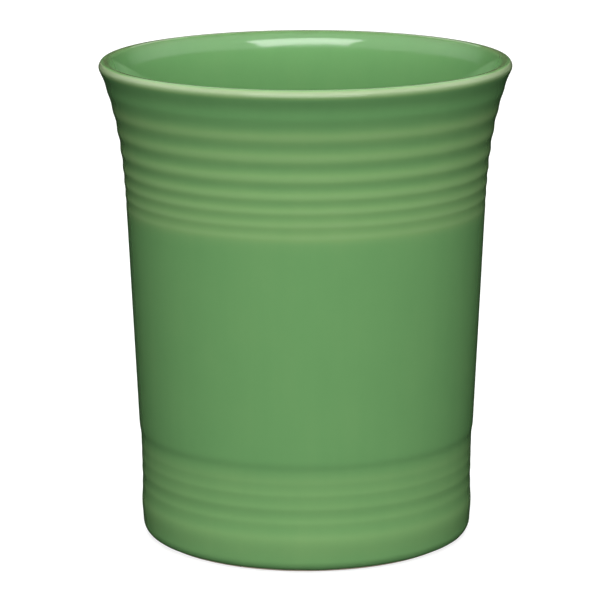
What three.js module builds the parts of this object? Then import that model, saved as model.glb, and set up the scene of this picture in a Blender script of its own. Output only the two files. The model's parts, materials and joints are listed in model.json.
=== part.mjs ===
// A flared ceramic pot for brushes and tools, made as the layers that the real one is built from:
// the fired clay body, the glaze coat fused over it, and the separate patch of glaze under its base.
// Everything is turned about the Z axis. Millimetres, +Z up, origin at the centre of the foot ring.

import * as THREE from 'three';

// Driving dimensions
const height = 168;             // foot to top of lip
const facets = 36;              // round the axis

const panelRadius = 59.06;      // outer radius at panelBottom
const panelBottom = 40;         // the smooth panel runs from here up to the lowest upper ring
const taper = 0.0456;           // radius gained per millimetre of height
const flareStart = 103.6;       // the wall starts to bend outwards
const flare = 7.6;              // radius that the bend adds at the rim
const flarePower = 3.3;
const bendMiddle = 111.6;       // one more point here follows the start of the bend

const upperRings = [116.8, 121, 125.6, 130.5, 136.6, 143.5, 150.7, 157.6];     // crest heights
const upperGrooves = [0.12, 0.15, 0.2, 0.28, 0.32, 0.28, 0.2];                 // depths between the crests
const neckGroove = { height: 161.2, depth: 0.24 };                             // between the top ring and the lip
const lowerRings = [11.6, 17.4, 22.7, 27.5, 31.8];
const lowerGrooves = [0.05, 0.11, 0.06, 0.05];

const bandRadius = 58.37;       // outer radius of the lower band at bandTop
const bandTop = 30;
const bandTaper = 0.0154;
const heelSwell = 0.36;         // the band swells a little above the foot
const heelHeight = 10.3;
const heelSpread = 4.5;
const swellFoot = 6.6;          // the swell starts to show here
const stepHeight = 37.1;        // the panel steps in to the lower band here
const stepSoftness = 0.78;
const stepSpan = { bottom: 34.6, top: 39.6, steps: 4 };

const heelCorner = { width: 2.17, height: 3.5 };   // the wall rounds under to the foot
const glazeLine = 0.8;          // the glaze stops this far above the surface it stands on
const footOuter = 55;
const footInner = 51.2;
const recessDepth = 3;
const recessFillet = 2.6;
const recessFilletSteps = 5;
const baseGlazePoints = recessFilletSteps;     // its glaze ends a little way down the fillet

const wallAtRim = 4.6;          // across the wall, level with the ground
const wallAtFloor = 5.4;
const floorTop = 9;
const floorFillet = 10;
const innerDrop = 6;            // the straight inner wall starts this far below the lip's inner end
const glazeThickness = 0.4;
const hairline = 0.02;          // left between glaze and clay, so that the two solids stay apart

const arcSteps = { heel: 4, lipOutside: 4, lipInside: 3, floor: 4 };
const innerSteps = 5;

const colors = { clay: 0xcdbfa6, glaze: 0x6a9a62 };

const point = (radius, z) => new THREE.Vector2(radius, z);

// Radius of the plain outer form, before the rings and the lower band are worked into it.
function formRadius(z) {
  const bend = Math.max(0, (z - flareStart) / (height - flareStart));
  return panelRadius + taper * (z - panelBottom) + flare * bend ** flarePower;
}

function formSlope(z) {
  const step = 0.01;
  return (formRadius(z + step) - formRadius(z - step)) / (2 * step);
}

// Radius of the lower band, which swells at the heel.
function bandRadiusAt(z) {
  const swell = heelSwell * Math.exp(-(((z - heelHeight) / heelSpread) ** 2));
  return bandRadius + bandTaper * (z - bandTop) + swell;
}

// Outer radius between the rings: the panel above, the lower band below, and a soft step between them.
function skinRadius(z) {
  const panelShare = 1 / (1 + Math.exp((stepHeight - z) / stepSoftness));
  return panelShare * formRadius(z) + (1 - panelShare) * bandRadiusAt(z);
}

// Inner radius of the glazed wall, which thins from the floor up to the rim.
function innerRadius(z) {
  return formRadius(z) - THREE.MathUtils.mapLinear(z, 0, height, wallAtFloor, wallAtRim);
}

// Points evenly spaced in height, both ends included, on a surface of the given radius.
function wallPoints(from, to, steps, radiusAt) {
  return Array.from({ length: steps + 1 }, (_, i) => {
    const z = THREE.MathUtils.lerp(from, to, i / steps);
    return point(radiusAt(z), z);
  });
}

// Points along an arc of an ellipse, both ends included, for angles in degrees.
function arcPoints(centre, radiusAcross, radiusUp, from, to, steps) {
  return Array.from({ length: steps + 1 }, (_, i) => {
    const angle = THREE.MathUtils.degToRad(THREE.MathUtils.lerp(from, to, i / steps));
    return point(centre.x + radiusAcross * Math.cos(angle), centre.y + radiusUp * Math.sin(angle));
  });
}

// A band of rings, from its lowest crest up: each crest, then the bottom of the groove over it.
function ringPoints(crests, depths) {
  const points = [];
  crests.forEach((crest, i) => {
    points.push(point(skinRadius(crest), crest));
    if (i < depths.length) {
      const middle = (crest + crests[i + 1]) / 2;
      points.push(point(skinRadius(middle) - depths[i], middle));
    }
  });
  return points;
}

// The rounded lip, from the outer wall over the top to the inner wall.
function lipPoints() {
  const lean = Math.atan(formSlope(height));
  const radius = wallAtRim * Math.cos(lean) / 2;
  const centreZ = height - radius;
  const outerEnd = centreZ - radius * Math.sin(lean);
  const centre = point(formRadius(outerEnd) - radius * Math.cos(lean), centreZ);
  const leanDegrees = THREE.MathUtils.radToDeg(lean);
  const outside = arcPoints(centre, radius, radius, -leanDegrees, 90, arcSteps.lipOutside);
  const inside = arcPoints(centre, radius, radius, 90, 180 - leanDegrees, arcSteps.lipInside);
  return [...outside, ...inside.slice(1)];
}

// The glazed surface: up the outside from the glaze line, over the lip, and down inside to the axis.
function glazedSurface() {
  const heelTop = glazeLine + heelCorner.height;
  const heelCentre = point(skinRadius(heelTop) - heelCorner.width, heelTop);
  const heel = arcPoints(heelCentre, heelCorner.width, heelCorner.height, -90, 0, arcSteps.heel);
  const swellStart = point(skinRadius(swellFoot), swellFoot);
  const lowerBand = ringPoints(lowerRings, lowerGrooves);
  const step = wallPoints(stepSpan.bottom, stepSpan.top, stepSpan.steps, skinRadius);
  const bend = wallPoints(flareStart, bendMiddle, 1, skinRadius);
  const upperBand = ringPoints(upperRings, upperGrooves);
  const neck = point(formRadius(neckGroove.height) - neckGroove.depth, neckGroove.height);
  const lip = lipPoints();
  const innerTop = lip[lip.length - 1].y;
  const floorCorner = floorTop + floorFillet;
  const innerBend = wallPoints(innerTop - innerDrop, flareStart, innerSteps, innerRadius);
  const filletCentre = point(innerRadius(floorCorner) - floorFillet, floorCorner);
  const fillet = arcPoints(filletCentre, floorFillet, floorFillet, 0, -90, arcSteps.floor);
  return [...heel, swellStart, ...lowerBand, ...step, ...bend, ...upperBand, neck, ...lip,
    ...innerBend, ...fillet, point(0, floorTop)];
}

// The same line moved sideways by a distance, to the left of its direction of travel.
function offsetLine(line, distance) {
  return line.map((here, i) => {
    const before = line[Math.max(i - 1, 0)];
    const after = line[Math.min(i + 1, line.length - 1)];
    const along = after.clone().sub(before).normalize();
    const onAxis = here.x === 0;
    const side = onAxis ? point(0, -Math.sign(before.x - after.x)) : point(-along.y, along.x);
    return here.clone().addScaledVector(side, distance);
  });
}

// The roof of the recess under the base, from the axis out and down its fillet to the foot.
function recessSurface() {
  const centre = point(footInner - recessFillet, recessDepth - recessFillet);
  return [point(0, recessDepth), ...arcPoints(centre, recessFillet, recessFillet, 90, 0, recessFilletSteps)];
}

function turned(name, outline, color, roughness) {
  const geometry = new THREE.LatheGeometry([...outline, outline[0].clone()], facets);
  geometry.rotateX(Math.PI / 2);
  const material = new THREE.MeshStandardMaterial({ color, roughness, metalness: 0 });
  const mesh = new THREE.Mesh(geometry, material);
  mesh.name = name;
  return mesh;
}

const glazed = glazedSurface();
const glazeBack = offsetLine(glazed, glazeThickness);
const clayWall = offsetLine(glazed, glazeThickness + hairline);
const recess = recessSurface();
const baseGlazeBack = offsetLine(recess.slice(0, baseGlazePoints), -hairline);
const baseGlazeFace = offsetLine(recess.slice(0, baseGlazePoints), -hairline - glazeThickness);

const group = new THREE.Group();
group.add(turned('clay_body', [...clayWall, ...recess, point(footInner, 0), point(footOuter, 0)],
  colors.clay, 0.85));
group.add(turned('glaze_coat', [...glazed, ...glazeBack.toReversed()], colors.glaze, 0.15));
group.add(turned('base_glaze', [...baseGlazeFace, ...baseGlazeBack.toReversed()], colors.glaze, 0.2));

export default group;
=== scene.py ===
import bisect
import json
import math
import bpy
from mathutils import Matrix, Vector, noise

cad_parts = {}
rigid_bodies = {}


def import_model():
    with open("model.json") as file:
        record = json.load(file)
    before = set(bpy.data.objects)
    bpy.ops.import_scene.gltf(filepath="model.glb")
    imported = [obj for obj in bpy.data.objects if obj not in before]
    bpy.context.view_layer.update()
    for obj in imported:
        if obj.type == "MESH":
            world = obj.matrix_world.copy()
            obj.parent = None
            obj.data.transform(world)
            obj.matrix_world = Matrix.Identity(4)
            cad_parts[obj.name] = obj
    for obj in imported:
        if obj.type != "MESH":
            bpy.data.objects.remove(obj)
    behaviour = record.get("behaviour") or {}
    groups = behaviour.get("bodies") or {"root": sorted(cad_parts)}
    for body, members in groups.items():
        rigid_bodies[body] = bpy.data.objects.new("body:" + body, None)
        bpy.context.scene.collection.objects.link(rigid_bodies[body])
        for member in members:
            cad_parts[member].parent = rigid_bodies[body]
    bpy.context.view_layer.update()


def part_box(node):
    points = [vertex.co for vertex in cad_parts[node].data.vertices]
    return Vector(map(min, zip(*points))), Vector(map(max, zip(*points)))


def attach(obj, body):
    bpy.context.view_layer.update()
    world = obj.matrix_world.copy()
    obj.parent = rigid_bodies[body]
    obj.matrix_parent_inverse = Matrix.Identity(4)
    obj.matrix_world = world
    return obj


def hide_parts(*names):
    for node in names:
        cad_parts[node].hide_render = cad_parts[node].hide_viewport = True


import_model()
print("frame loaded")

mm = 0.001
weldWithin = 0.002 * mm


# Modelling helpers

def deselectAll():
    for thing in bpy.data.objects:
        thing.select_set(False)


def turnOutline(name, outline, steps):
    # a line of points drawn by extrusion from a single one, then spun about the axis
    deselectAll()
    first = outline[0]
    bpy.ops.mesh.primitive_plane_add(size=mm, location=(first[0], 0, first[1]))
    piece = bpy.context.object
    piece.name = piece.data.name = name
    bpy.ops.object.mode_set(mode="EDIT")
    bpy.ops.mesh.select_all(action="SELECT")
    bpy.ops.mesh.merge(type="CENTER")
    for here, there in zip(outline, outline[1:]):
        move = (there[0] - here[0], 0, there[1] - here[1])
        bpy.ops.mesh.extrude_vertices_move(TRANSFORM_OT_translate={"value": move})
    bpy.ops.mesh.select_all(action="SELECT")
    bpy.ops.mesh.spin(steps=steps, angle=math.tau, center=(0, 0, 0), axis=(0, 0, 1))
    bpy.ops.mesh.select_all(action="SELECT")
    bpy.ops.mesh.remove_doubles(threshold=weldWithin)
    bpy.ops.mesh.normals_make_consistent(inside=False)
    bpy.ops.object.mode_set(mode="OBJECT")
    bpy.ops.object.transform_apply(location=True, rotation=True, scale=True)
    bpy.ops.object.shade_smooth()
    return piece


def along(start, end, pace):
    # evenly spaced values from start to end, about one pace apart, both ends included
    count = max(1, math.ceil(abs(end - start) / pace))
    return [start + (end - start) * i / count for i in range(count + 1)]


def arc(centre, across, up, start, end, count):
    # points round an ellipse, angles in degrees, both ends included
    angles = [math.radians(start + (end - start) * i / count) for i in range(count + 1)]
    return [(centre[0] + across * math.cos(a), centre[1] + up * math.sin(a)) for a in angles]


def offsetOutline(outline, distance):
    # the same line moved to the left of its direction of travel
    moved = []
    for i, here in enumerate(outline):
        before = outline[max(i - 1, 0)]
        after = outline[min(i + 1, len(outline) - 1)]
        run, rise = after[0] - before[0], after[1] - before[1]
        if here[0] < weldWithin:
            rise = 0  # the line meets the axis square on
        length = math.hypot(run, rise)
        moved.append((here[0] - rise / length * distance, here[1] + run / length * distance))
    return moved


# The form of the pot

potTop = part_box("glaze_coat")[1][2]

pot = {
    "steps": 160,
    "panelRadius": 59.06 * mm,
    "panelBottom": 40 * mm,
    "taper": 0.0456,
    "flareStart": 103.6 * mm,
    "flare": 7.6 * mm,
    "flarePower": 3.3,
    "bandRadius": 58.37 * mm,
    "bandTop": 30 * mm,
    "bandTaper": 0.0154,
    "heelSwell": 0.36 * mm,
    "heelHeight": 10.3 * mm,
    "heelSpread": 4.5 * mm,
    "stepHeight": 37.1 * mm,
    "stepSoftness": 0.78 * mm,
    "heelWidth": 2.17 * mm,
    "heelRise": 3.5 * mm,
    "glazeLine": 0.8 * mm,
    "wallAtRim": 4.6 * mm,
    "wallAtFloor": 5.4 * mm,
    "floorTop": 9 * mm,
    "floorFillet": 10 * mm,
    "glazeThickness": 0.4 * mm,
    "hairline": 0.02 * mm,
    "ripple": 0.05 * mm,
    "rippleGap": 7.3 * mm,
    "rippleTop": 12 * mm,  # the ripples end this far below the rim
    "rippleFade": 20 * mm,
    "pace": 0.5 * mm,  # between the points of the outline
    "backPace": 1.5 * mm,  # the same on surfaces that are never seen
    "plainPace": 3,  # times as far on walls without rings
    "plainOverBand": 10 * mm,
    "plainUnderRings": 6 * mm,
    "heelSteps": 8,
    "filletSteps": 14,
    "floorPace": 5 * mm,
}

lip = {
    "steps": 36,
    "backSteps": 18,
    "flatAt": 27,  # degrees up from level
    "flatSpread": 15,
    "flatDepth": 0.055 * mm,
}

rings = {
    "upperCrests": [z * mm for z in (116.8, 121, 125.6, 130.5, 136.6, 143.5, 150.7, 157.6, 164.9)],
    "upperDepths": [d * mm for d in (0.12, 0.15, 0.2, 0.28, 0.32, 0.28, 0.2, 0.24)],
    "lowerCrests": [z * mm for z in (11.6, 17.4, 22.7, 27.5, 31.8)],
    "lowerDepths": [d * mm for d in (0.05, 0.11, 0.06, 0.05)],
    "sharpBelow": 3.75 * mm,  # rings this close would have sharp crests
    "crestRound": 0.55,
    "leastRound": 0.3 * mm,
}

foot = {
    "outer": 55 * mm,
    "inner": 51.2 * mm,
    "recessDepth": 3 * mm,
    "recessFillet": 2.6 * mm,
    "glazeEnd": 1.6 * mm,  # the base glaze stops this far above the table
    "scratch": 0.025 * mm,  # depth of the lines left by the turning tool
    "scratchGap": 0.9 * mm,
    "roofWave": 0.05 * mm,
    "roofWaveGap": 5.5 * mm,
    "roofWaveFade": 4 * mm,
    "roofPace": 1.1 * mm,
    "ringPace": 0.2 * mm,
    "filletSteps": 10,
    "edge": 0.5 * mm,  # radius of the ring's two edges
    "edgeSteps": 4,
}


def formRadius(z):
    bend = max(0.0, (z - pot["flareStart"]) / (potTop - pot["flareStart"]))
    cone = pot["panelRadius"] + pot["taper"] * (z - pot["panelBottom"])
    return cone + pot["flare"] * bend ** pot["flarePower"]


def formLean(z):
    nudge = 0.01 * mm
    return math.atan((formRadius(z + nudge) - formRadius(z - nudge)) / (2 * nudge))


def bandRadiusAt(z):
    swell = math.exp(-((z - pot["heelHeight"]) / pot["heelSpread"]) ** 2)
    return pot["bandRadius"] + pot["bandTaper"] * (z - pot["bandTop"]) + pot["heelSwell"] * swell


def grooveAt(z, crests, depths):
    # how far a scooped groove goes in at this height, between two rounded crests
    if z <= crests[0] or z >= crests[-1]:
        return 0.0
    i = bisect.bisect_right(crests, z) - 1
    gap = crests[i + 1] - crests[i]
    nearest = min(z - crests[i], crests[i + 1] - z)
    soft = max(rings["leastRound"], rings["crestRound"] * (gap - rings["sharpBelow"]))
    reach = (math.hypot(nearest, soft) - soft) / (math.hypot(gap / 2, soft) - soft) / 2
    return depths[i] * 4 * reach * (1 - reach)


def skinRadius(z):
    panelShare = 1 / (1 + math.exp((pot["stepHeight"] - z) / pot["stepSoftness"]))
    plain = panelShare * formRadius(z) + (1 - panelShare) * bandRadiusAt(z)
    upper = grooveAt(z, rings["upperCrests"], rings["upperDepths"])
    lower = grooveAt(z, rings["lowerCrests"], rings["lowerDepths"])
    return plain - upper - lower


def innerRadius(z):
    # the thrower's fingers leave faint ripples, fading out below the rim
    share = z / potTop
    fade = min(1.0, max(0.0, (potTop - pot["rippleTop"] - z) / pot["rippleFade"]))
    ripple = pot["ripple"] * fade * math.sin(math.tau * z / pot["rippleGap"])
    return formRadius(z) - pot["wallAtFloor"] * (1 - share) - pot["wallAtRim"] * share + ripple


def lipCircle():
    # the lip in section: its centre, its radius, and the degrees it leans outwards
    lean = formLean(potTop)
    radius = pot["wallAtRim"] * math.cos(lean) / 2
    centreZ = potTop - radius
    outerEnd = centreZ - radius * math.sin(lean)
    return (formRadius(outerEnd) - radius * math.cos(lean), centreZ), radius, math.degrees(lean)


def lipOutline(count):
    # a half circle over the wall, its outward face a little flattened
    (across, up), radius, lean = lipCircle()
    points = []
    for degrees in along(-lean, 180 - lean, 180 / count):
        flat = math.exp(-((degrees - lip["flatAt"]) / lip["flatSpread"]) ** 2)
        reach, angle = radius - lip["flatDepth"] * flat, math.radians(degrees)
        points.append((across + reach * math.cos(angle), up + reach * math.sin(angle)))
    return points


def glazedOutline(pace, lipSteps):
    # up the outside from the glaze line, over the lip and down inside to the axis
    heelTop = pot["glazeLine"] + pot["heelRise"]
    heelCentre = (skinRadius(heelTop) - pot["heelWidth"], heelTop)
    heel = arc(heelCentre, pot["heelWidth"], pot["heelRise"], -90, 0, pot["heelSteps"])
    rim = lipOutline(lipSteps)
    plainPace = pot["plainPace"] * pace
    panelLow = rings["lowerCrests"][-1] + pot["plainOverBand"]
    panelHigh = rings["upperCrests"][0] - pot["plainUnderRings"]
    lower = [(skinRadius(z), z) for z in along(heelTop, panelLow, pace)]
    panel = [(skinRadius(z), z) for z in along(panelLow, panelHigh, plainPace)]
    upper = [(skinRadius(z), z) for z in along(panelHigh, rim[0][1], pace)]
    floorCorner = pot["floorTop"] + pot["floorFillet"]
    inner = [(innerRadius(z), z) for z in along(rim[-1][1], floorCorner, plainPace)]
    filletCentre = (inner[-1][0] - pot["floorFillet"], floorCorner)
    fillet = arc(filletCentre, pot["floorFillet"], pot["floorFillet"], 0, -90, pot["filletSteps"])
    floor = [(r, pot["floorTop"]) for r in along(fillet[-1][0], 0, pot["floorPace"])]
    return heel + lower[1:] + panel[1:] + upper[1:-1] + rim + inner[1:] + fillet[1:] + floor[1:]


glazedLine = glazedOutline(pot["pace"], lip["steps"])
coarseLine = glazedOutline(pot["backPace"], lip["backSteps"])
print("outline has", len(glazedLine), "points, backing", len(coarseLine))


def makeGlaze():
    back = offsetOutline(coarseLine, pot["glazeThickness"])
    piece = turnOutline("greenGlaze", glazedLine[::-1] + back, pot["steps"])
    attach(piece, "root")
    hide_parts("glaze_coat")
    return piece


def recessOutline():
    # from the axis along the roof of the recess and down its fillet
    fillet = foot["recessFillet"]
    centre = (foot["inner"] - fillet, foot["recessDepth"] - fillet)
    roof = []
    for r in along(0, centre[0], foot["roofPace"]):
        fade = min(1.0, (centre[0] - r) / foot["roofWaveFade"])
        wave = foot["roofWave"] * fade * math.sin(math.tau * r / foot["roofWaveGap"])
        roof.append((r, foot["recessDepth"] + wave))
    return roof[:-1] + arc(centre, fillet, fillet, 90, 0, foot["filletSteps"])


def makeClay():
    # the wall under the glaze is coarse, because only the foot shows
    wall = offsetOutline(coarseLine, pot["glazeThickness"] + pot["hairline"])
    edge = foot["edge"]
    ring = []
    for r in along(foot["inner"] + edge, foot["outer"] - edge, foot["ringPace"]):
        ring.append((r, foot["scratch"] * (1 - math.cos(math.tau * r / foot["scratchGap"])) / 2))
    inside = arc((foot["inner"] + edge, edge), edge, edge, 180, 270, foot["edgeSteps"])
    outside = arc((foot["outer"] - edge, edge), edge, edge, -90, 0, foot["edgeSteps"])
    recess = [point for point in recessOutline() if point[1] > edge]
    outline = recess + inside[:-1] + ring + outside[1:] + wall
    piece = turnOutline("firedClay", outline, pot["steps"])
    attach(piece, "root")
    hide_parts("clay_body")
    return piece


def makeBaseGlaze():
    roof = [point for point in recessOutline() if point[1] > foot["glazeEnd"]]
    back = offsetOutline(roof, -pot["hairline"])
    face = offsetOutline(roof, -pot["hairline"] - pot["glazeThickness"])
    piece = turnOutline("baseGlaze", back + face[::-1], pot["steps"])
    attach(piece, "root")
    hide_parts("base_glaze")
    return piece


glaze, clay, baseGlaze = makeGlaze(), makeClay(), makeBaseGlaze()
print("pieces made:", [(piece.name, len(piece.data.polygons)) for piece in (glaze, clay, baseGlaze)])


# Unevenness of the handwork

uneven = {
    "drift": 0.05 * mm,  # the whole pot is out of true by up to this much
    "driftRound": 1.3,  # how fast the drift changes round the pot
    "driftUp": 14,  # and up it
    "edge": 0.5 * mm,  # the wiped edge of the glaze wanders by up to this much
    "edgeRound": 6,
    "edgeReach": 1.5 * mm,
    "edgeTop": 2 * mm,
    "edgeSeed": 3,
}


def waveGlazeEdge(piece):
    # the wiped edge of the glaze wanders in and out round the foot
    edgeRadius, turns = glazedLine[0][0], uneven["edgeRound"]
    for vertex in piece.data.vertices:
        x, y, z = vertex.co
        reach = math.hypot(x, y)
        share = max(0.0, 1 - (reach - edgeRadius) / uneven["edgeReach"])
        if z < uneven["edgeTop"] and share > 0:
            place = Vector((x / reach * turns, y / reach * turns, uneven["edgeSeed"]))
            wander = noise.noise(place) * uneven["edge"] * share
            vertex.co.x += x / reach * wander
            vertex.co.y += y / reach * wander


def putOutOfTrue(piece):
    # fired clay is never quite round: a slow drift in radius, the same for every layer
    turns = uneven["driftRound"]
    for vertex in piece.data.vertices:
        x, y, z = vertex.co
        reach = math.hypot(x, y)
        if reach > 1 * mm:
            place = Vector((x / reach * turns, y / reach * turns, z * uneven["driftUp"]))
            drift = noise.noise(place) * uneven["drift"]
            vertex.co.x += x / reach * drift
            vertex.co.y += y / reach * drift


waveGlazeEdge(glaze)
for layer in (glaze, clay, baseGlaze):
    putOutOfTrue(layer)


# Shader wiring

class Wire:
    # one output socket; arithmetic on it adds Math nodes
    def __init__(self, look, socket):
        self.look, self.socket = look, socket

    def math(self, operation, first, second):
        return self.look.node("ShaderNodeMath", {"operation": operation}, {0: first, 1: second})

    def __add__(self, other):
        return self.math("ADD", self, other)

    def __radd__(self, other):
        return self.math("ADD", other, self)

    def __sub__(self, other):
        return self.math("SUBTRACT", self, other)

    def __rsub__(self, other):
        return self.math("SUBTRACT", other, self)

    def __mul__(self, other):
        return self.math("MULTIPLY", self, other)

    def __rmul__(self, other):
        return self.math("MULTIPLY", other, self)


class Look:
    # a material's nodes, or the world's
    def __init__(self, tree):
        self.tree = tree
        tree.nodes.clear()

    def node(self, kind, settings=None, inputs=None, output=0):
        made = self.tree.nodes.new(kind)
        for key, value in (settings or {}).items():
            if key == "stops":
                while len(made.color_ramp.elements) < len(value):
                    made.color_ramp.elements.new(1)
                for stop, (place, shade) in zip(made.color_ramp.elements, value):
                    stop.position, stop.color = place, shade
            else:
                setattr(made, key, value)
        for key, value in (inputs or {}).items():
            if isinstance(value, Wire):
                self.tree.links.new(value.socket, made.inputs[key])
            else:
                made.inputs[key].default_value = value
        return Wire(self, made.outputs[output]) if made.outputs else None

    def cloud(self, place, size, detail=2, stretch=(1, 1, 1)):
        # soft noise of about -0.5 to 0.5, with features about this size
        place = self.node("ShaderNodeMapping", inputs={"Vector": place, "Scale": stretch})
        limits = {"Vector": place, "Scale": 1 / size, "Detail": detail}
        return self.node("ShaderNodeTexNoise", inputs=limits) - 0.5

    def blend(self, share, first, second):
        # colours mixed; their sockets stand at 6 and 7 of a Mix node, the result at 2
        return self.node("ShaderNodeMix", {"data_type": "RGBA"}, {0: share, 6: first, 7: second}, 2)

    def ramp(self, value, low, high):
        # value from low to high, brought to 0 to 1 with soft ends
        limits = {"From Min": low, "From Max": high, "Value": value}
        return self.node("ShaderNodeMapRange", {"interpolation_type": "SMOOTHSTEP"}, limits)


def newMaterial(name):
    material = bpy.data.materials.new(name)
    material.use_nodes = True
    return material, Look(material.node_tree)


# Green glaze

greenGlaze = {
    # colours from where the glaze has pooled to where it has run off an edge; the paler stops also
    # stand for painted highlight on the ring crests and the lip, the darker ones for painted shade
    # under the lip
    "stops": [
        (0, (0.1, 0.25, 0.09, 1)),
        (0.25, (0.132, 0.299, 0.109, 1)),
        (0.5, (0.178, 0.336, 0.126, 1)),
        (1, (0.245, 0.335, 0.18, 1)),
    ],
    "mottle": 0.1,
    "mottleSize": 17 * mm,
    "streak": 0.07,
    "streakSize": 5 * mm,
    "streakStretch": (1, 1, 0.12),
    "roughness": 0.07,
    "roughnessDrift": 0.05,
    "waveSize": 14 * mm,
    "peelSize": 2.2 * mm,
    "peel": 0.12,  # share of the bump that is fine orange peel
    "bump": 0.035 * mm,
    "ior": 1.5,
}

# how thin the glaze lies, with painted highlight on the ring crests and the lip and painted shade
# under the lip mixed in
film = {
    "even": 0.25,
    # crest and lowerCrest: thin glaze just above each ring crest, partly a painted highlight on its
    # upward face
    "crest": 0.22,
    "lowerCrest": 0.08,
    "ribbed": 0.07,  # each band of rings is a little thin all over
    "ribbedFade": 6 * mm,
    "heel": 0.1,
    "heelHeight": 8 * mm,
    "heelSpread": 5 * mm,
    "crestReach": 1.9 * mm,
    "crestLift": 0.14,  # the thin place, with its painted highlight, lies this share of a ring gap above the crest, on the ring's upward face
    "highestThin": 152 * mm,  # the neck over this keeps its glaze and gets no painted crest highlight
    "topGap": 5 * mm,  # the highest crest counts as this far below a next one
    # neck: painted shade, a darker band under the lip
    "neck": 0.1,
    "neckDrop": 6 * mm,
    "neckSpread": 5 * mm,
    # lip: thin glaze round the lip's outward face, partly a painted highlight there
    "lip": 0.75,
    "lipTop": 85,  # degrees up from level, where the thin glaze and its painted highlight end
    "lipFade": 40,
    "lipFoot": 0.3,  # share of it at the foot of the lip
    "lipReach": 2 * mm,
    "pooled": 0.2,
    "footReach": 2 * mm,
    "skin": 2 * mm,  # what lies this near the outer form is outside
}

iron = {
    "colour": (0.1, 0.12, 0.055, 1),
    "most": 0.7,  # share of its colour along the top of the lip
    "middle": 90,  # degrees up from level
    "outSpread": 22,
    "inSpread": 50,
    "patchEdge": 0.6,
}


def bandShare(z, crests):
    # 1 inside a band of rings, fading to 0 outside it
    past = max(crests[0] - z, z - min(crests[-1], film["highestThin"]), 0)
    return max(0.0, 1 - past / film["ribbedFade"])


# each band of rings a little thin all over, and thin glaze with a painted highlight just above each
# crest
def ringFilmAndHighlight(z, crests, amount):
    thinGlazeAndLight = film["ribbed"] * bandShare(z, crests)
    for crest, above in zip(crests, crests[1:] + [crests[-1] + film["topGap"]]):
        thinnest = crest + film["crestLift"] * (above - crest)
        if thinnest < film["highestThin"]:
            thinGlazeAndLight += amount * math.exp(-((z - thinnest) / film["crestReach"]) ** 2)
    return thinGlazeAndLight


def lipPlace(r, z):
    # degrees round the lip from its outward side, and height over the lower end of its outward face
    (across, up), radius, lean = lipCircle()
    degrees = math.degrees(math.atan2(z - up, r - across))
    return degrees % 360, z - up + radius * math.sin(math.radians(lean))


def lipFilmAndHighlight(r, z):
    # 1 round the outward face of the lip, fading towards its top and down to the neck: thin glaze,
    # partly a painted highlight
    degrees, height = lipPlace(r, z)
    if degrees > 180:
        degrees = 0  # below level, where the film is as thin as at level
    above = min(1.0, max(0.0, (film["lipTop"] - degrees) / film["lipFade"]))
    below = min(1.0, max(0.0, film["lipFoot"] + height / film["lipReach"]))
    return above * below


def lipIron(x, y, z):
    # the iron in the clay shows through along the very top of the lip, less down its inside
    r = math.hypot(x, y)
    degrees, height = lipPlace(r, z)
    if height < 0:
        return 0.0
    spread = iron["outSpread"] if degrees < iron["middle"] else iron["inSpread"]
    return iron["most"] * math.exp(-((degrees - iron["middle"]) / spread) ** 2)


def glazeFilmAndPaintedLight(x, y, z):
    # how thin the glaze lies: 0 pooled, 0.25 on plain walls, 1 where it has run off; on the outside
    # it also carries painted highlight on the ring crests and lip and painted shade under the lip
    r = math.hypot(x, y)
    value = film["even"]
    if r > formRadius(z) - film["skin"]:
        # thin glaze on the ring crests, partly a painted highlight on their upward faces
        value += ringFilmAndHighlight(z, rings["upperCrests"], film["crest"])
        value += ringFilmAndHighlight(z, rings["lowerCrests"], film["lowerCrest"])
        value += film["heel"] * math.exp(-((z - film["heelHeight"]) / film["heelSpread"]) ** 2)
        value -= film["pooled"] * math.exp(-(z / film["footReach"]) ** 2)
        # painted shade: a darker band under the lip
        value -= film["neck"] * math.exp(-((z - potTop + film["neckDrop"]) / film["neckSpread"]) ** 2)
        # thin glaze round the lip, partly a painted highlight
        value += (film["lip"] + film["even"] - value) * lipFilmAndHighlight(r, z)
    else:
        corner = math.hypot(pot["panelRadius"] - pot["wallAtFloor"] - r, z - pot["floorTop"])
        value -= film["pooled"] * math.exp(-(corner / pot["floorFillet"]) ** 2)
    return value


def paint(piece, name, valueAt):
    values = [valueAt(*vertex.co) for vertex in piece.data.vertices]
    piece.data.attributes.new(name, "FLOAT", "POINT").data.foreach_set("value", values)


def makeGlazeMaterial(name, settings):
    material, look = newMaterial(name)
    place = look.node("ShaderNodeTexCoord", output="Object")
    # how thin the glaze lies, with painted highlight and painted shade mixed in on the green glaze
    thinGlazeAndLight = look.node("ShaderNodeAttribute", {"attribute_name": "film"}, output="Fac")
    mottle = look.cloud(place, settings["mottleSize"], 3)
    streak = look.cloud(place, settings["streakSize"], 2, settings["streakStretch"])
    thinGlazeAndLight = thinGlazeAndLight + mottle * settings["mottle"] + streak * settings["streak"]
    colour = look.node("ShaderNodeValToRGB", {"stops": settings["stops"]}, {"Fac": thinGlazeAndLight})
    rusty = look.node("ShaderNodeAttribute", {"attribute_name": "iron"}, output="Fac")
    colour = look.blend(rusty + rusty * mottle, colour, iron["colour"])
    roughness = settings["roughness"] + mottle * settings["roughnessDrift"]
    waves = look.cloud(place, settings["waveSize"], 1)
    peel = look.cloud(place, settings["peelSize"], 1)
    relief = look.node("ShaderNodeBump", inputs={
        "Height": waves + peel * settings["peel"], "Distance": settings["bump"], "Strength": 1,
    })
    surface = look.node("ShaderNodeBsdfPrincipled", inputs={
        "Base Color": colour, "Roughness": roughness, "IOR": settings["ior"], "Normal": relief,
    })
    look.node("ShaderNodeOutputMaterial", inputs={"Surface": surface})
    return material


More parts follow.
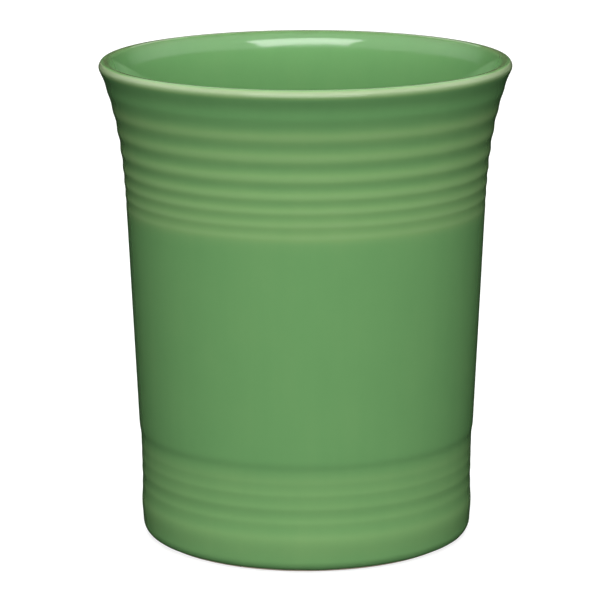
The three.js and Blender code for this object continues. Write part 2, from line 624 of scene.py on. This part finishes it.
# the green glaze's thinness, with its painted highlight and painted shade
paint(glaze, "film", glazeFilmAndPaintedLight)
paint(glaze, "iron", lipIron)
glaze.data.materials.append(makeGlazeMaterial("greenGlaze", greenGlaze))


# Base glaze

patch = dict(greenGlaze, mottle=0.25, mottleSize=9 * mm, streak=0, roughness=0.1)
patch.update(pooled=0.15, edgeThin=0.5, edgeReach=3 * mm)


def patchEdge(x, y, z):
    # 0 over most of the recess, 1 where the glaze was wiped back from the ring
    return max(0.0, 1 - (foot["inner"] - math.hypot(x, y)) / patch["edgeReach"])


def patchFilm(x, y, z):
    return patch["pooled"] + patch["edgeThin"] * patchEdge(x, y, z)


def patchIron(x, y, z):
    return iron["patchEdge"] * patchEdge(x, y, z) ** 2


paint(baseGlaze, "film", patchFilm)
paint(baseGlaze, "iron", patchIron)
baseGlaze.data.materials.append(makeGlazeMaterial("baseGlaze", patch))


# Fired clay

firedClay = {
    "pale": (0.66, 0.57, 0.43, 1),
    "toasted": (0.5, 0.39, 0.26, 1),
    "iron": (0.16, 0.09, 0.05, 1),
    "blotchSize": 9 * mm,
    "grainSize": 0.5 * mm,
    "speckSize": 1.1 * mm,
    "toastLow": 0.2 * mm,
    "toastHigh": 1.4 * mm,  # the clay colours towards the glaze line
    "toast": 0.6,
    "grain": 0.5,
    "speckFrom": 0.2,
    "speckTo": 0.27,
    "roughness": 0.8,
    "roughnessDrift": 0.2,
    "bump": 0.05 * mm,
}


def makeFiredClay():
    material, look = newMaterial("firedClay")
    place = look.node("ShaderNodeTexCoord", output="Object")
    height = look.node("ShaderNodeSeparateXYZ", inputs={0: place}, output=2)
    blotch = look.cloud(place, firedClay["blotchSize"], 3)
    grain = look.cloud(place, firedClay["grainSize"], 3)
    speck = look.cloud(place, firedClay["speckSize"], 1)
    toast = look.ramp(height, firedClay["toastLow"], firedClay["toastHigh"])
    share = toast * firedClay["toast"] + blotch + grain * firedClay["grain"]
    colour = look.blend(share, firedClay["pale"], firedClay["toasted"])
    speckShare = look.ramp(speck, firedClay["speckFrom"], firedClay["speckTo"])
    colour = look.blend(speckShare, colour, firedClay["iron"])
    relief = look.node("ShaderNodeBump", inputs={
        "Height": grain + speck, "Distance": firedClay["bump"], "Strength": 1,
    })
    roughness = firedClay["roughness"] + grain * firedClay["roughnessDrift"]
    surface = look.node("ShaderNodeBsdfPrincipled", inputs={
        "Base Color": colour, "Roughness": roughness, "Normal": relief,
    })
    look.node("ShaderNodeOutputMaterial", inputs={"Surface": surface})
    return material


clay.data.materials.append(makeFiredClay())
print("materials made:", [material.name for material in bpy.data.materials])


# Camera

view = {
    "away": 1106.8 * mm,
    "height": 334.55 * mm,
    "downDegrees": 12.839,
    "leanDegrees": -0.168,
    "lens": 193.8,
    "sensor": 36,
    "aside": 2.12 * mm,  # the pot stands this much right of the line of sight
}


def makeCamera():
    bpy.ops.object.camera_add(location=(0, -view["away"], view["height"]))
    camera = bpy.context.object
    camera.name = "potCamera"
    camera.data.lens = view["lens"]
    camera.data.sensor_width = view["sensor"]
    turn = math.atan(view["aside"] / view["away"])
    aim = Vector((-math.sin(turn), math.cos(turn), -math.tan(math.radians(view["downDegrees"]))))
    turned = aim.to_track_quat("-Z", "Y").to_euler()
    turned.rotate_axis("Z", math.radians(view["leanDegrees"]))
    camera.rotation_euler = turned
    bpy.context.scene.camera = camera


makeCamera()


# Floor, lights and background

studio = {
    "floorAcross": 60,
    "floorGlow": 0.78,
    "floorShade": (0.3, 0.3, 0.3, 1),
    "ambient": 0.03,
    "backdrop": 0.95,
    "topEnergy": 2.67,
    "topSpread": 40,  # degrees
    "target": (0, 0, 100 * mm),
    # these light the pot but are not mirrored in its glaze
    "unseen": ("keyBox", "softBox", "leftBox", "rightBox", "backWall"),
}

# name: degrees up, degrees round from the front, distance, width, height, brightness of its face
panels = {
    "keyBox": (52, 0, 1.6, 1.2, 0.36, 7.6),
    "softBox": (48, 0, 1.6, 3.6, 0.55, 1.7),
    "frontWall": (3, 0, 2.6, 3.4, 0.55, 6.8),
    "leftBox": (25, -68, 1.8, 0.9, 0.9, 1.85),
    "rightBox": (25, 68, 1.8, 0.9, 0.9, 1.9),
    "backBox": (45, 180, 1.8, 1.6, 0.8, 1.5),
    "backWall": (10, 180, 2.5, 0.9, 0.9, 10),
}


def makePanel(name, up, side, distance, width, height, brightness):
    up, side = math.radians(up), math.radians(side)
    back = Vector((math.sin(side) * math.cos(up), -math.cos(side) * math.cos(up), math.sin(up)))
    bpy.ops.object.light_add(type="AREA", location=Vector(studio["target"]) + back * distance)
    panel = bpy.context.object
    panel.name = name
    panel.rotation_euler = back.to_track_quat("Z", "Y").to_euler()
    panel.data.shape = "RECTANGLE"
    panel.data.size, panel.data.size_y = width, height
    panel.data.energy = brightness * math.pi * width * height  # watts for that radiance
    panel.visible_glossy = name not in studio["unseen"]


# long curved lamps, seen in the glaze from the inner wall under the back of the rim;
# low and high edge: degrees up at the middle, degrees to each side, degrees down to the ends
lamps = {
    "stripLamp": {  # the bright bar inside the rim
        "away": 1.5,
        "low": (32.8, 29, 1.6),
        "high": (37.8, 41.6, 3.7),
        "tilt": -0.4,
        "strength": 9.8,
        "fade": 0.02,
        "lights": True,
    },
    "hazeLamp": {  # the broad pale sheen round the bar
        "away": 1.6,
        "low": (31.4, 140, 24.5),
        "high": (58, 140, 24.5),
        "tilt": 0,
        "strength": 1.4,
        "fade": 0.3,  # share of each half that fades out
        "lights": False,  # it is only mirrored in the glaze
    },
}
lampCentre = Vector((0, 66 * mm, 164 * mm))
lampSteps = 36


def makeLamp(name, band):
    deselectAll()
    bpy.ops.mesh.primitive_grid_add(x_subdivisions=lampSteps, y_subdivisions=1, size=2)
    lamp = bpy.context.object
    lamp.name = name
    paint(lamp, "glow", lambda x, y, z: min(1.0, (1 - abs(x)) / band["fade"]))
    for vertex in lamp.data.vertices:
        across, share = vertex.co.x, (vertex.co.y + 1) / 2
        up, half, droop = [low + (high - low) * share for low, high in zip(band["low"], band["high"])]
        up = math.radians(up - droop * across ** 2 + band["tilt"] * across)
        side = math.radians(across * half)
        way = Vector((math.sin(side) * math.cos(up), -math.cos(side) * math.cos(up), math.sin(up)))
        vertex.co = lampCentre + way * band["away"]
    lamp.visible_camera = lamp.visible_shadow = False
    lamp.visible_diffuse = band["lights"]
    material, look = newMaterial(name)
    shade = look.node("ShaderNodeAttribute", {"attribute_name": "glow"}, output="Color")
    glow = look.node("ShaderNodeEmission", inputs={"Color": shade, "Strength": band["strength"]})
    look.node("ShaderNodeOutputMaterial", inputs={"Surface": glow})
    lamp.data.materials.append(material)


def makeFloor():
    deselectAll()
    bpy.ops.mesh.primitive_plane_add(size=studio["floorAcross"])
    floor = bpy.context.object
    floor.name = "floor"
    floor.visible_diffuse = floor.visible_glossy = False
    material, look = newMaterial("floor")
    matte = look.node("ShaderNodeBsdfDiffuse", inputs={"Color": studio["floorShade"]})
    glow = look.node("ShaderNodeEmission", inputs={"Strength": studio["floorGlow"]})
    both = look.node("ShaderNodeAddShader", inputs={0: matte, 1: glow})
    look.node("ShaderNodeOutputMaterial", inputs={"Surface": both})
    floor.data.materials.append(material)


def makeSky():
    # the lens sees white behind the floor, and the pot a dim even room
    world = bpy.data.worlds.new("room")
    world.use_nodes = True
    bpy.context.scene.world = world
    look = Look(world.node_tree)
    seen = look.node("ShaderNodeLightPath", output="Is Camera Ray")
    matte = look.node("ShaderNodeLightPath", output="Is Diffuse Ray")
    strength = studio["ambient"] * matte + studio["backdrop"] * seen
    back = look.node("ShaderNodeBackground", inputs={"Color": (1, 1, 1, 1), "Strength": strength})
    look.node("ShaderNodeOutputWorld", inputs={"Surface": back})


def makeTopLight():
    bpy.ops.object.light_add(type="SUN", location=(0, 0, 2))
    top = bpy.context.object
    top.name = "topLight"
    top.data.energy = studio["topEnergy"]
    top.data.angle = math.radians(studio["topSpread"])
    top.visible_glossy = False


for panelName, settings in panels.items():
    makePanel(panelName, *settings)
for lampName, band in lamps.items():
    makeLamp(lampName, band)
makeFloor()
makeSky()
makeTopLight()
bpy.context.scene.view_settings.view_transform = "Standard"
print("studio made")
